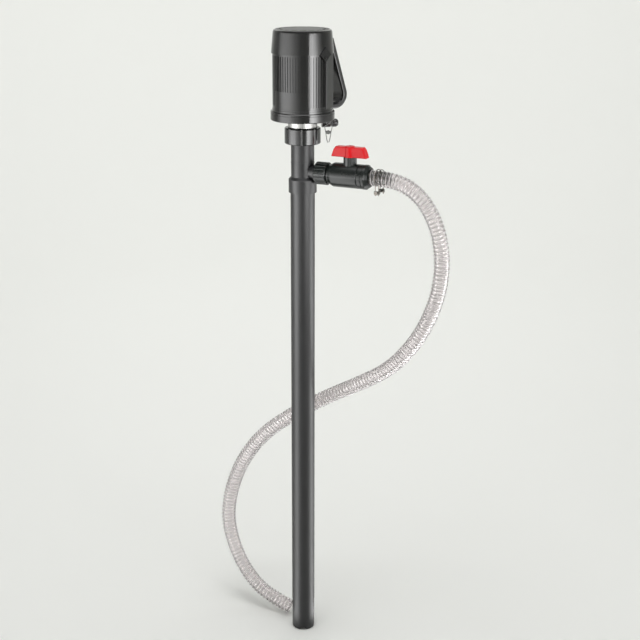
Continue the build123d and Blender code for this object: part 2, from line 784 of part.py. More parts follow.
def make_upper_bracket():
    """Spoked plate inside the housing that holds the upper bearing."""
    outer = housing_bore_r - seat_gap
    top = bracket_base + bracket_height
    hub_r = bearing_outer_r + bracket_hub_wall
    hub_low = bracket_base - bracket_hub_floor
    hole_r = shaft_r + shaft_hole_gap
    hub = turned((hole_r, hub_low), (hub_r, hub_low), (hub_r, top), (bearing_outer_r, top),
                 (bearing_outer_r, bracket_base), (hole_r, bracket_base))
    low = bracket_base + 1
    high = top - cap_lip / 2 - 1
    ring = tube(outer, outer - bracket_ring, low, high)
    arm = block(hub_r - bracket_hub_wall / 2, outer - bracket_ring / 2, -bracket_arm / 2, bracket_arm / 2,
                low, high)
    save("upper_bearing_bracket", hub + ring + around(arm, 4, tongue_angle + 45))


def gland_place(solid):
    """Lays an upright solid along the level axis of the cable gland, under the motor base."""
    return Rot(0, 0, gland_angle) * Pos(gland_circle, 0, gland_height) * Rot(0, 90, 0) * solid


def make_gland():
    """Cable gland: a hexagon body in the base's boss, a grooved dome nut and the seal for the cable."""
    hex_top = gland_boss + gland_hex
    nut_end = hex_top + move_gap + gland_nut
    seal_r = gland_stem_r - gland_stem_wall
    body = extrude(Plane.XY.offset(gland_boss) * RegularPolygon(gland_hex_r, 6), gland_hex)
    body += rod(gland_stem_r, gland_boss / 5, hex_top + gland_nut / 2)
    body -= rod(cable_bore_r, 0, nut_end)
    body -= rod(seal_r, hex_top, nut_end)
    save("gland_body", gland_place(body))
    dome = turned((0, hex_top + seat_gap), (gland_nut_r, hex_top + seat_gap), (gland_nut_r, nut_end - 5),
                  (gland_nut_r - 1, nut_end - 2), (gland_nut_r - 3, nut_end), (0, nut_end))
    cut = Pos(gland_nut_r + 0.5, 0, 0) * rod(1.3, hex_top - 1, nut_end - 4)
    dome -= around(cut, 10)
    dome -= rod(gland_stem_r + seat_gap, hex_top, hex_top + gland_nut / 2 + seat_gap)
    dome -= rod(cable_bore_r, hex_top, nut_end + 1)
    save("gland_nut", gland_place(dome))
    seal = tube(seal_r - seat_gap, cable_bore_r, hex_top + seat_gap, hex_top + gland_nut / 2 - seat_gap)
    save("gland_seal", gland_place(seal))


def clip_place(solid):
    """Sets a solid, drawn about the clip's pivot, under the motor base and turned to its view angle."""
    x = clip_circle * cos(radians(clip_angle))
    y = clip_circle * sin(radians(clip_angle))
    return Pos(x, y, clip_pivot) * Rot(0, 0, clip_view_angle) * solid


def sheet_strip(points, depth):
    """Bent strip of sheet, drawn from the side and as deep as given."""
    band = trace(Polyline(*points), clip_sheet)
    return extrude(Plane.XZ * band, depth / 2, both=True)


def make_earth_clip():
    """Earthing clip: two sprung jaws on a pin, hung from a small bracket by an eye."""
    half = clip_depth / 2
    eye_gap = 0.1
    top = clip_pivot_drop
    plate_low = top - 1.2
    # Bracket with two ears and the pin that the clip hangs from
    bracket = block(-5, 5, -half, half + 8, plate_low, top)
    bracket += block(-4.2, 4.2, -2.2, 2.2, -2, top) - block(-3, 3, -3, 3, -3, plate_low)
    bracket += Rot(0, 90, 0) * rod(pivot_pin_r, -4.2, 4.2)
    hole = Pos(0, half + 4.4, 0)
    bracket -= hole * rod(screw_r, plate_low - 1, top + 1)
    save("earth_bracket", clip_place(bracket))
    screw = rod(screw_r - seat_gap, plate_low, top - seat_gap)
    screw += rod(screw_head_r - 1, plate_low - 2, plate_low)
    screw -= block(-screw_head_r, screw_head_r, -screw_slot / 2, screw_slot / 2,
                   plate_low - 3, plate_low - 1.2)
    save("earth_screw", clip_place(hole * screw))
    # Still jaw, with the eye at its top
    pin_z = -clip_pin_drop
    tip_z = -clip_length
    back = -clip_half_width + 1
    still = sheet_strip([(-0.9, tip_z + 0.6), (-2.6, tip_z + 5), (-4.3, pin_z - 7), (-5.2, pin_z),
                         (back, -9), (back, -6.5), (-4.5, -4.3), (0, -3.1)], clip_depth)
    ear = Rot(90, 0, 0) * rod(3.4, -half, half) + block(-5, 0, -half, half, -2.6, 2.6)
    still += Pos(0, 0, pin_z) * ear - block(-9, 9, -half + 1, half - 1, pin_z - 9, pin_z + 9)
    eye = Rot(0, 90, 0) * tube(2.6, pivot_pin_r + eye_gap, -2.4, 2.4)
    still = still - Rot(0, 90, 0) * rod(2.0, -9, 9) + eye
    bore = Pos(0, 0, pin_z) * Rot(90, 0, 0) * rod(clip_pin_r, -half - 2, half + 2)
    save("clip_still_jaw", clip_place(still - bore))
    pin = Rot(90, 0, 0) * (rod(clip_pin_r - 0.02, -half - 0.8, half + 0.8) + rod(1.8, -half - 0.8, -half)
                           + rod(1.8, half, half + 0.8))
    save("clip_pin", clip_place(Pos(0, 0, pin_z) * pin))
    # Sprung jaw, its ears inside those of the still jaw
    inner = half - 1 - 0.2
    front = clip_half_width - 0.6
    moving = sheet_strip([(0.9, tip_z + 0.6), (2.6, tip_z + 5), (4.3, pin_z - 7), (5.2, pin_z),
                          (front, -9), (front, -6)], 2 * inner)
    lug = Rot(90, 0, 0) * rod(2.8, -inner, inner) + block(0, 5, -inner, inner, -2.2, 2.2)
    moving += Pos(0, 0, pin_z) * lug - block(-9, 9, -inner + 0.9, inner - 0.9, pin_z - 9, pin_z + 9)
    moving -= Pos(0, 0, pin_z) * Rot(90, 0, 0) * rod(clip_pin_r + running_gap, -half - 2, half + 2)
    save("clip_sprung_jaw", clip_place(moving))
    spring = Rot(90, 0, 0) * tube(1.9, clip_pin_r + 0.2, -inner + 1.1, inner - 1.1)
    save("clip_spring", clip_place(Pos(0, 0, pin_z) * spring))


def make_branch_nut():
    nut = ridged(branch_nut_r, branch_nut_start, branch_nut_end, small_nut_ribs, 1.6, 1.2)
    nut -= rod(branch_spigot_r + move_gap, branch_nut_start - 1, branch_nut_end - branch_nut_lip)
    nut -= rod(branch_r + move_gap, branch_nut_start, branch_nut_end + 1)
    save("branch_nut", on_branch(nut))


def make_valve_tail():
    """Flanged tail that the branch nut pulls against the tee, screwed into the valve."""
    flange = branch_spigot_end + move_gap
    shoulder = flange + tail_flange_length
    end = valve_start + tail_depth - seat_gap
    tail = turned((branch_bore_r, flange), (branch_spigot_r, flange), (branch_spigot_r, shoulder),
                  (branch_r, shoulder), (branch_r, end), (branch_bore_r, end))
    save("valve_tail", on_branch(tail))


def make_valve_body():
    """Barrel with a collar towards the tee, a thread at the far end and the bonnet for the stem."""
    thread_end = valve_barrel_end + valve_thread_length
    body = turned((0, valve_start), (valve_collar_r - 1, valve_start), (valve_collar_r, valve_start + 1),
                  (valve_collar_r, valve_collar_end), (valve_barrel_r, valve_collar_end + valve_shoulder),
                  (valve_barrel_r, valve_barrel_end - 1), (valve_barrel_r - 1, valve_barrel_end),
                  (valve_thread_r, valve_barrel_end), (valve_thread_r, thread_end), (0, thread_end))
    body = on_branch(body)
    bonnet_base = branch_height + chamber_r
    bonnet = rod(bonnet_r, bonnet_base, bonnet_top)
    rib_cut = rod(bonnet_groove_r, branch_height, bonnet_top + cut_past)
    bonnet -= around(Pos(bonnet_r + bonnet_groove_r * 0.4, 0, 0) * rib_cut, bonnet_ribs)
    body += Pos(stem_at, 0, 0) * bonnet
    body -= on_branch(rod(branch_r + seat_gap, valve_start - cut_past, valve_start + tail_depth))
    body -= on_branch(rod(branch_bore_r, valve_start, seat_start + cut_past))
    body -= on_branch(rod(chamber_r, seat_start, thread_end + cut_past))
    body -= Pos(stem_at, 0, 0) * rod(stem_r + running_gap, branch_height, bonnet_top + cut_past)
    save("valve_body", body)


def make_ball_and_seats():
    ball = Pos(stem_at, 0, branch_height) * Sphere(ball_r)
    ball -= on_branch(rod(branch_bore_r, stem_at - ball_r - 1, stem_at + ball_r + 1))
    slot_low = branch_height + ball_r - stem_slot
    slot_half = stem_blade / 2 + seat_gap
    ball -= block(stem_at - slot_half, stem_at + slot_half, -ball_r, ball_r,
                  slot_low, branch_height + ball_r + cut_past)
    save("valve_ball", ball)
    far_start = 2 * stem_at - seat_start - seat_length
    cup = Pos(stem_at, 0, branch_height) * Rot(0, 0, 90) * Sphere(ball_r + seat_gap)
    rings = []
    for start in (seat_start + seat_gap, far_start - seat_gap):
        rings.append(on_branch(tube(chamber_r - seat_gap, branch_bore_r, start, start + seat_length)) - cup)
    save("ball_seats", *rings)
    retainer = tube(chamber_r - seat_gap, branch_bore_r, far_start + seat_length,
                    valve_barrel_end + valve_thread_length)
    save("seat_retainer", on_branch(retainer))


def make_stem():
    """Stem with a driving blade in the ball's slot and a square top for the handle."""
    ball_top = branch_height + ball_r
    half = stem_square / 2
    square_base = bonnet_top + move_gap
    stem_top = square_base + lever_height - lever_socket_roof
    stem = rod(stem_r, ball_top + seat_gap, square_base)
    stem += block(-half, half, -half, half, square_base - 1, stem_top)
    blade_low = ball_top - stem_slot + seat_gap
    driving_blade = block(-stem_blade / 2, stem_blade / 2, -stem_r, stem_r, blade_low, ball_top + 1)
    stem += driving_blade & rod(stem_r, blade_low, ball_top + 1)
    groove = bonnet_top - 9
    stem -= tube(stem_r + 1, stem_r - 1.6, groove - 1, groove + 1)
    stem -= rod(lever_screw_r + seat_gap, stem_top - 7, stem_top + cut_past)
    save("valve_stem", Pos(stem_at, 0, 0) * stem)
    save("stem_o_ring", Pos(stem_at, 0, 0) * o_ring(stem_r - 0.8, 0.8, groove))
    head = stem_top + seat_gap
    screw = rod(lever_screw_r, stem_top - 6, head + 1) + rod(lever_screw_head_r, head, head + 2)
    screw -= block(-4, 4, -screw_slot * 0.4, screw_slot * 0.4, head + 1.2, head + 3)
    save("handle_screw", Pos(stem_at, 0, 0) * screw)


def make_lever():
    """Red bar handle: two hollow wings and a round hub with a square socket."""
    low = bonnet_top + move_gap
    high = low + lever_height
    half_low = lever_bottom_length / 2
    half_top = lever_top_length / 2
    outline = Polyline((-half_low, low), (half_low, low), (half_low - 1.5, low + 6),
                       (half_top + 1, high - 5), (half_top - 3, high), (-half_top + 3, high),
                       (-half_top - 1, high - 5), (-half_low + 1.5, low + 6), close=True)
    bar = extrude(Plane.XZ * make_face(outline), lever_width / 2, both=True)
    bar = fillet(bar.edges().filter_by(Plane.XZ), 2.2)
    for side in (-1, 1):
        near, far = sorted((side * (lever_hub_r - 1), side * (half_top - lever_wall)))
        bar -= block(near, far, -lever_width / 2 + lever_wall, lever_width / 2 - lever_wall,
                     low - cut_past, high - lever_roof)
    hub_top = low + lever_hub_height
    bar += turned((0, low), (lever_hub_r, low), (lever_hub_r - 1, hub_top - 2.5),
                  (lever_hub_r - 4, hub_top), (0, hub_top))
    half = stem_square / 2 + seat_gap
    stem_top = low + lever_height - lever_socket_roof
    bar -= block(-half, half, -half, half, low - cut_past, stem_top + seat_gap)
    bar -= rod(lever_screw_head_r + seat_gap, stem_top, hub_top + cut_past)
    save("valve_handle", Pos(stem_at, 0, 0) * bar)


def make_end_nut_and_barb():
    """Nut that holds the hose barb's flange on the valve."""
    thread_end = valve_barrel_end + valve_thread_length
    start = valve_barrel_end + move_gap
    lip = end_nut_end - end_nut_lip
    ring_end = lip + 0.5
    ring_start = ring_end - end_nut_ring
    groove_floor = valve_barrel_r - end_nut_groove
    nut = turned((0, start), (valve_barrel_r - 1, start), (valve_barrel_r, start + 1),
                 (valve_barrel_r, ring_start - end_nut_groove), (groove_floor, ring_start - end_nut_groove),
                 (groove_floor, ring_start), (end_nut_r, ring_start), (end_nut_r, ring_end),
                 (end_nut_r - 1, ring_end + 0.5), (end_nut_neck_r, end_nut_end), (0, end_nut_end))
    nut -= rod(valve_thread_r + move_gap, start - 1, lip)
    pipe_r = barb_r + barb_shoulder
    nut -= rod(pipe_r + move_gap, start, end_nut_end + 1)
    save("valve_end_nut", on_branch(nut))
    flange = thread_end + seat_gap
    flange_r = valve_thread_r - move_gap
    profile = [(barb_bore_r, flange), (flange_r, flange), (flange_r, lip - move_gap),
               (pipe_r, lip - move_gap), (pipe_r, end_nut_end + 0.5), (barb_r, end_nut_end + 0.5)]
    pitch = (barb_end - end_nut_end - 6) / barb_ridges
    for index in range(barb_ridges):
        ridge = end_nut_end + 6 + pitch * index
        profile += [(barb_r, ridge), (barb_r + barb_ridge, ridge), (barb_r, ridge + pitch * 0.7)]
    profile += [(barb_r - 0.8, barb_end), (barb_bore_r, barb_end)]
    save("hose_barb", on_branch(turned(*profile)))


def make_clamp():
    """Wire clamp: two loops over the hose with legs into cross pins, drawn together by a bolt below."""
    clamp_end = clamp_start + clamp_width
    middle = clamp_start + clamp_width / 2
    loop_r = hose_r + seat_gap + clamp_wire_r
    leg_top = branch_height - sqrt(loop_r ** 2 - clamp_leg_reach ** 2)
    bolt_height = branch_height - clamp_bolt_drop
    clamp = []
    for place in (clamp_start + clamp_wire_r, clamp_end - clamp_wire_r):
        loop = on_branch(o_ring(loop_r, clamp_wire_r, place))
        loop -= block(clamp_start - cut_past, clamp_end + cut_past, -hose_r, hose_r,
                      bolt_height, leg_top)
        for side in (-1, 1):
            leg = rod(clamp_wire_r, bolt_height - clamp_leg_tail, leg_top)
            leg += Pos(0, 0, leg_top) * Sphere(clamp_wire_r)
            loop += Pos(place, side * clamp_leg_reach, 0) * leg
        clamp.append(loop)
    for side in (-1, 1):
        pin_place = Pos(0, side * clamp_leg_reach, bolt_height - branch_height)
        clamp.append(pin_place * on_branch(rod(clamp_pin_r, clamp_start - clamp_pin_over,
                                               clamp_end + clamp_pin_over)))
    clamp = clamp[0] + clamp[1:]
    bolt_place = Pos(middle, 0, bolt_height) * Rot(90, 0, 0)
    reach = clamp_leg_reach + clamp_pin_r
    clamp -= bolt_place * rod(clamp_bolt_r + seat_gap, -reach - cut_past, reach + cut_past)
    save("clamp_band", clamp)
    head_top = reach + clamp_head
    bolt = rod(clamp_bolt_r, -reach - clamp_bolt_end, reach + 0.5) + rod(clamp_head_r, reach, head_top)
    bolt -= block(-clamp_head_r, clamp_head_r, -screw_slot / 2, screw_slot / 2,
                  head_top - screw_slot, head_top + cut_past)
    save("clamp_bolt", bolt_place * bolt)
    nut = extrude(Plane.XY.offset(-reach) * RegularPolygon(clamp_head_r, 6), -clamp_nut_length)
    nut -= rod(clamp_bolt_r + seat_gap, -reach - clamp_nut_length - cut_past, 0)
    save("clamp_nut", bolt_place * nut)


def make_hose():
    """Clear hose as a plain round tube along straight runs joined by arcs."""
    points = [Vector(*p) for p in hose_points]
    runs = [points[i + 1] - points[i] for i in range(len(points) - 1)]
    radii = []
    for before, after in zip(runs, runs[1:]):
        half_turn = radians(before.get_angle(after)) / 2
        radii.append(0.45 * min(before.length, after.length) / tan(half_turn))
    path = FilletPolyline(*points, radius=radii)
    section = Plane(origin=points[0], z_dir=runs[0]) * Circle(hose_r)
    hose = sweep(section, path=path)
    ideal = pi * hose_r ** 2 * path.length
    print("hose arc radii", [round(r) for r in radii])
    print(f"hose length {path.length:.0f} mm, volume is {hose.volume / ideal:.5f} of section times length")
    save("discharge_hose", hose)


def main():
    os.makedirs("parts", exist_ok=True)
    make_suction_tube()
    make_foot_strainer()
    make_impeller()
    make_vane_carrier()
    make_shaft_guides()
    make_drive_shaft()
    make_tee()
    make_seal_and_bearings()
    make_union_nut()
    make_collar()
    make_coupling()
    make_motor_base()
    make_housing()
    make_cap()
    make_handle()
    make_stator()
    make_rotor()
    make_brush_gear()
    make_upper_bracket()
    make_gland()
    make_earth_clip()
    make_branch_nut()
    make_valve_tail()
    make_valve_body()
    make_ball_and_seats()
    make_stem()
    make_lever()
    make_end_nut_and_barb()
    make_clamp()
    make_hose()


main()
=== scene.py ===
import bpy
import json
import math
from mathutils import Euler, Matrix, Vector


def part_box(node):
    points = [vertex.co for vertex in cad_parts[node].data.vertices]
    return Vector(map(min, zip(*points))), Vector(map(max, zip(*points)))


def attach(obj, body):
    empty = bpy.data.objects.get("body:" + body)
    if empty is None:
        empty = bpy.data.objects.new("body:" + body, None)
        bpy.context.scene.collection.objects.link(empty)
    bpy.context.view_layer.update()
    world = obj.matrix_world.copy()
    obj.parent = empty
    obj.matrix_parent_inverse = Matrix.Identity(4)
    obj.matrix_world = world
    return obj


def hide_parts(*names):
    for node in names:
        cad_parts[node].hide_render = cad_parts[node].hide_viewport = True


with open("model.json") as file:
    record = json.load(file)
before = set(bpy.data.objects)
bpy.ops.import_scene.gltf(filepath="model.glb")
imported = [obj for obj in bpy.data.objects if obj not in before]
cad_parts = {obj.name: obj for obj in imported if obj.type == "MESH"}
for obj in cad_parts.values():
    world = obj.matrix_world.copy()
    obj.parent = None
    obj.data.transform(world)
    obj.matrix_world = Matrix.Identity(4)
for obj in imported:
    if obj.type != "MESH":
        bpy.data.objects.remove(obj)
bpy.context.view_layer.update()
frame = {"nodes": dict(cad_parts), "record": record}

# Camera: about 2.6 m from the tube, 25 degrees round from the branch and looking 17.5 degrees down,
# a little to the right of the pump, which puts the tube left of the middle as in the photograph. The
# photograph is turned by a seventh of a degree.
view_turn = math.radians(25)
view_drop = math.radians(17.5)
camera_distance = 2.619
camera_right = 0.036
camera_height = 0.551
camera_roll = math.radians(0.146)
sight = Vector((-math.sin(view_turn), math.cos(view_turn), 0))
right_hand = Vector((math.cos(view_turn), math.sin(view_turn), 0))
stand = right_hand * camera_right - sight * camera_distance
bpy.ops.object.select_all(action="DESELECT")
level_view = Euler((math.pi / 2 - view_drop, 0, view_turn)).to_matrix()
bpy.ops.object.camera_add(location=(stand.x, stand.y, camera_height),
                          rotation=(level_view @ Matrix.Rotation(camera_roll, 3, "Z")).to_euler())
camera = bpy.context.object
camera.data.sensor_width = 36
camera.data.lens = 73.35
camera.data.clip_end = 200
bpy.context.scene.camera = camera

# Delivery hose: clear soft PVC with a rigid spiral moulded into its wall, cut off bare at the far end.
# It is extruded, wound and cut to length, then pushed over the barb. It leaves level, loops down on
# the right, passes behind the tube and ends at the foot.
hose_route = [
    (0.151, 0, 0.042), (0.200, 0, 0.042), (0.248, -0.001, 0.022), (0.281, -0.002, -0.017), (0.301, 0, -0.070),
    (0.306, 0.002, -0.134), (0.292, 0.007, -0.208), (0.251, 0.020, -0.291), (0.184, 0.040, -0.370),
    (0.103, 0.052, -0.421), (0.028, 0.057, -0.463), (-0.048, 0.050, -0.512), (-0.118, 0.050, -0.568),
    (-0.174, 0.056, -0.638), (-0.209, 0.057, -0.716), (-0.221, 0.052, -0.796), (-0.201, 0.045, -0.866),
    (-0.160, 0.037, -0.927), (-0.103, 0.029, -0.965), (-0.046, 0.030, -0.981)]
hose_wall_r = 0.0147
hose_rib_height = 0.0018
hose_bore_r = 0.0127
rib_pitch = 0.0082
rings_per_rib = 10
rib_sharpness = 1.4
hose_sides = 28
spiral_centre_r = 0.0152
spiral_rod_r = 0.0010

hose_curve = bpy.data.curves.new("hose_line", "CURVE")
hose_curve.dimensions = "3D"
hose_curve.resolution_u = 24
hose_spline = hose_curve.splines.new("NURBS")
hose_spline.points.add(len(hose_route) - 1)
for point, place in zip(hose_spline.points, hose_route):
    point.co = (*place, 1)
hose_spline.order_u = 3
hose_spline.use_endpoint_u = True
hose_line = bpy.data.objects.new("hose_line", hose_curve)
bpy.context.scene.collection.objects.link(hose_line)
bpy.context.view_layer.update()
line_mesh = bpy.data.meshes.new_from_object(hose_line.evaluated_get(bpy.context.evaluated_depsgraph_get()))
line_points = [vertex.co.copy() for vertex in line_mesh.vertices]
bpy.data.objects.remove(hose_line)
bpy.data.meshes.remove(line_mesh)


def evenly_spaced(points, step):
    """Points along a line at even steps, its two ends kept, and the line's length."""
    travelled = [0.0]
    for before, after in zip(points, points[1:]):
        travelled.append(travelled[-1] + (after - before).length)
    count = round(travelled[-1] / step)
    spaced, at = [], 0
    for index in range(count + 1):
        wanted = travelled[-1] * index / count
        while at < len(points) - 2 and travelled[at + 1] < wanted:
            at += 1
        share = (wanted - travelled[at]) / max(travelled[at + 1] - travelled[at], 1e-9)
        spaced.append(points[at].lerp(points[at + 1], share))
    return spaced, travelled[-1]


def carried_frames(points):
    """Two directions across the line at each point, carried along it without twisting."""
    frames = []
    side = Vector((0, 1, 0))
    for index in range(len(points)):
        along = (points[min(index + 1, len(points) - 1)] - points[max(index - 1, 0)]).normalized()
        side = (side - along * side.dot(along)).normalized()
        frames.append((side, along.cross(side)))
    return frames


def mesh_piece(name, vertices, faces):
    """New object from vertices and faces, smoothly shaded."""
    mesh = bpy.data.meshes.new(name)
    mesh.from_pydata(vertices, [], faces)
    mesh.shade_smooth()
    mesh.update()
    piece = bpy.data.objects.new(name, mesh)
    bpy.context.scene.collection.objects.link(piece)
    return piece


hose_steps, hose_length = evenly_spaced(line_points, rib_pitch / rings_per_rib)
hose_frames = carried_frames(hose_steps)


def ribbed_wall():
    """Closed wall of the hose: ribbed outside, smooth bore, and the two cut faces that join them."""
    vertices, faces = [], []
    outer_rings = len(hose_steps)
    inner_steps = range(0, outer_rings, rings_per_rib)
    if (outer_rings - 1) % rings_per_rib:
        inner_steps = list(inner_steps) + [outer_rings - 1]
    for index, (point, (side, up)) in enumerate(zip(hose_steps, hose_frames)):
        for turn in range(hose_sides):
            angle = 2 * math.pi * turn / hose_sides
            phase = 2 * math.pi * index / rings_per_rib - angle
            crest = max(0.0, math.cos(phase)) ** rib_sharpness if 0 < index < outer_rings - 1 else 0.0
            radius = hose_wall_r + hose_rib_height * crest
            vertices.append(point + (side * math.cos(angle) + up * math.sin(angle)) * radius)
    for index in inner_steps:
        side, up = hose_frames[index]
        for turn in range(hose_sides):
            angle = 2 * math.pi * turn / hose_sides
            vertices.append(hose_steps[index] + (side * math.cos(angle) + up * math.sin(angle)) * hose_bore_r)
    inner_start = outer_rings * hose_sides
    inner_rings = len(inner_steps)
    for ring in range(outer_rings - 1):
        for turn in range(hose_sides):
            here, there = ring * hose_sides + turn, ring * hose_sides + (turn + 1) % hose_sides
            faces.append((here, there, there + hose_sides, here + hose_sides))
    for ring in range(inner_rings - 1):
        for turn in range(hose_sides):
            here = inner_start + ring * hose_sides + turn
            there = inner_start + ring * hose_sides + (turn + 1) % hose_sides
            faces.append((here, here + hose_sides, there + hose_sides, there))
    last_outer = (outer_rings - 1) * hose_sides
    last_inner = inner_start + (inner_rings - 1) * hose_sides
    for outer, inner, opening in ((0, inner_start, True), (last_outer, last_inner, False)):
        for turn in range(hose_sides):
            after = (turn + 1) % hose_sides
            corners = (outer + turn, inner + turn, inner + after, outer + after)
            faces.append(corners if opening else corners[::-1])
    return mesh_piece("delivery_hose", vertices, faces)


def spiral_rod(name, centre_r, rod_r, start, stop, sides=6):
    """Rod wound along the hose inside its wall, between two steps of the hose's line."""
    vertices, faces = [], []
    per_step = 3
    total = (stop - start) * per_step
    for index in range(total + 1):
        at = start + index / per_step
        low = min(int(at), len(hose_steps) - 2)
        share = at - low
        point = hose_steps[low].lerp(hose_steps[low + 1], share)
        side = hose_frames[low][0].lerp(hose_frames[low + 1][0], share).normalized()
        up = hose_frames[low][1].lerp(hose_frames[low + 1][1], share).normalized()
        along = side.cross(up)
        angle = 2 * math.pi * at / rings_per_rib
        outward = side * math.cos(angle) + up * math.sin(angle)
        for turn in range(sides):
            spin = 2 * math.pi * turn / sides
            reach = centre_r + rod_r * math.cos(spin)
            vertices.append(point + outward * reach + along * rod_r * math.sin(spin))
    for ring in range(total):
        for turn in range(sides):
            here, there = ring * sides + turn, ring * sides + (turn + 1) % sides
            faces.append((here, there, there + sides, here + sides))
    faces.append(tuple(range(sides))[::-1])
    faces.append(tuple(total * sides + turn for turn in range(sides)))
    return mesh_piece(name, vertices, faces)


def clear_pvc(name, colour, roughness, transmission):
    """Translucent soft plastic with a faint cloudiness along its length."""
    material = bpy.data.materials.new(name)
    material.use_nodes = True
    nodes, links = material.node_tree.nodes, material.node_tree.links
    shader = nodes["Principled BSDF"]
    place = nodes.new("ShaderNodeTexCoord")
    cloud = nodes.new("ShaderNodeTexNoise")
    cloud.inputs["Scale"].default_value = 60
    cloud.inputs["Detail"].default_value = 3
    shade = nodes.new("ShaderNodeMix")
    shade.data_type = "RGBA"
    shade.inputs["A"].default_value = (*[part * 0.93 for part in colour], 1)
    shade.inputs["B"].default_value = (*colour, 1)
    links.new(place.outputs["Object"], cloud.inputs["Vector"])
    links.new(cloud.outputs["Fac"], shade.inputs["Factor"])
    links.new(shade.outputs["Result"], shader.inputs["Base Color"])
    shader.inputs["Roughness"].default_value = roughness
    shader.inputs["Transmission Weight"].default_value = transmission
    shader.inputs["IOR"].default_value = 1.42
    return material


hose = ribbed_wall()
hose.data.materials.append(clear_pvc("clear_pvc", (0.955, 0.925, 0.93), 0.10, 0.97))
hose_spiral = spiral_rod("hose_spiral", spiral_centre_r, spiral_rod_r, 1, len(hose_steps) - 2)
hose_spiral.data.materials.append(clear_pvc("spiral_pvc", (0.70, 0.67, 0.67), 0.28, 0.72))
for piece in (hose, hose_spiral):
    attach(piece, "root")
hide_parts("discharge_hose")

# Studio: a pale paper floor that runs up into a round wall, lit from above, in a dimmer room. Tall gridded
# strips stand side by side, bright on the right and dim on the left, and low panels show only as gloss
# along the tube. None of it belongs to the pump.
floor_level = -1.0
floor_size = 120
sweep_r = 5.0
sweep_height = 4.0
sweep_bend = 1.8
above_floor = 0.0002
bpy.ops.object.select_all(action="DESELECT")
bpy.ops.mesh.primitive_plane_add(size=floor_size, location=(0, 0, floor_level))
floor = bpy.context.object
floor.name = "studio_floor"

bpy.ops.object.select_all(action="DESELECT")
bpy.ops.mesh.primitive_cylinder_add(vertices=96, radius=sweep_r, depth=sweep_height,
                                    location=(0, 0, floor_level + above_floor + sweep_height / 2))
sweep = bpy.context.object
sweep.name = "studio_sweep"
bpy.ops.object.transform_apply(location=True, rotation=False, scale=False)
bpy.ops.object.mode_set(mode="EDIT")
bpy.ops.mesh.select_mode(type="FACE")
bpy.ops.mesh.select_all(action="DESELECT")
bpy.ops.object.mode_set(mode="OBJECT")
for face in sweep.data.polygons:
    face.select = face.normal.z > 0.5
bpy.ops.object.mode_set(mode="EDIT")
bpy.ops.mesh.delete(type="FACE")
bpy.ops.mesh.select_mode(type="EDGE")
bpy.ops.mesh.select_all(action="DESELECT")
bpy.ops.object.mode_set(mode="OBJECT")
for edge in sweep.data.edges:
    edge.select = all(sweep.data.vertices[end].co.z < floor_level + 0.01 for end in edge.vertices)
bpy.ops.object.mode_set(mode="EDIT")
bpy.ops.mesh.bevel(offset=sweep_bend, segments=24)
bpy.ops.mesh.select_all(action="SELECT")
bpy.ops.mesh.flip_normals()
bpy.ops.object.mode_set(mode="OBJECT")
bpy.ops.object.shade_smooth()
sweep.visible_shadow = False

floor_paper = bpy.data.materials.new("floor_paper")
floor_paper.use_nodes = True
floor_shader = floor_paper.node_tree.nodes["Principled BSDF"]
floor_shader.inputs["Base Color"].default_value = (0.86, 0.865, 0.84, 1)
floor_shader.inputs["Roughness"].default_value = 0.9
floor_shader.inputs["Specular IOR Level"].default_value = 0.1
for sheet in (floor, sweep):
    sheet.data.materials.append(floor_paper)


def softbox(name, turn_degrees, wide_degrees, distance, bottom, top, radiance, grid_degrees=180,
            lift_degrees=0):
    """Area light round the pump that faces it, its width given as an angle and its light as a surface's."""
    turn = math.radians(turn_degrees)
    width = 2 * distance * math.tan(math.radians(wide_degrees / 2))
    place = Vector((math.cos(turn) * distance, math.sin(turn) * distance, (bottom + top) / 2))
    bpy.ops.object.light_add(type="AREA", location=place,
                             rotation=(math.radians(90 + lift_degrees), 0, turn + math.pi / 2))
    light = bpy.context.object
    light.name = name
    light.data.shape = "RECTANGLE"
    light.data.size = width
    light.data.size_y = top - bottom
    light.data.energy = radiance * math.pi * width * (top - bottom)
    light.data.spread = math.radians(grid_degrees)
    light.visible_camera = False
    return light


def floor_glow(turn_degrees, near, far):
    """Light lying on the floor between two distances from the pump, seen only as gloss low on the tube."""
    turn = math.radians(turn_degrees)
    middle = (near + far) / 2
    place = Vector((math.cos(turn) * middle, math.sin(turn) * middle, floor_level + glow_lift))
    bpy.ops.object.light_add(type="AREA", location=place, rotation=(math.pi, 0, turn))
    glow = bpy.context.object
    glow.name = "floor_glow"
    glow.data.shape = "RECTANGLE"
    glow.data.size = far - near
    glow.data.size_y = glow_spread * middle
    glow.data.energy = glow_radiance * math.pi * glow.data.size * glow.data.size_y
    glow.visible_camera = False
    glow.visible_diffuse = False


def ceiling_panel(name, back, height, wide, deep, radiance, tilt_degrees):
    """Area light overhead, set back from the pump along the line of sight and tilted towards the wall."""
    bpy.ops.object.light_add(type="AREA", location=sight * back + Vector((0, 0, height)),
                             rotation=(math.radians(tilt_degrees), 0, view_turn))
    panel = bpy.context.object
    panel.name = name
    panel.data.shape = "RECTANGLE"
    panel.data.size = wide
    panel.data.size_y = deep
    panel.data.energy = radiance * math.pi * wide * deep
    panel.visible_camera = False


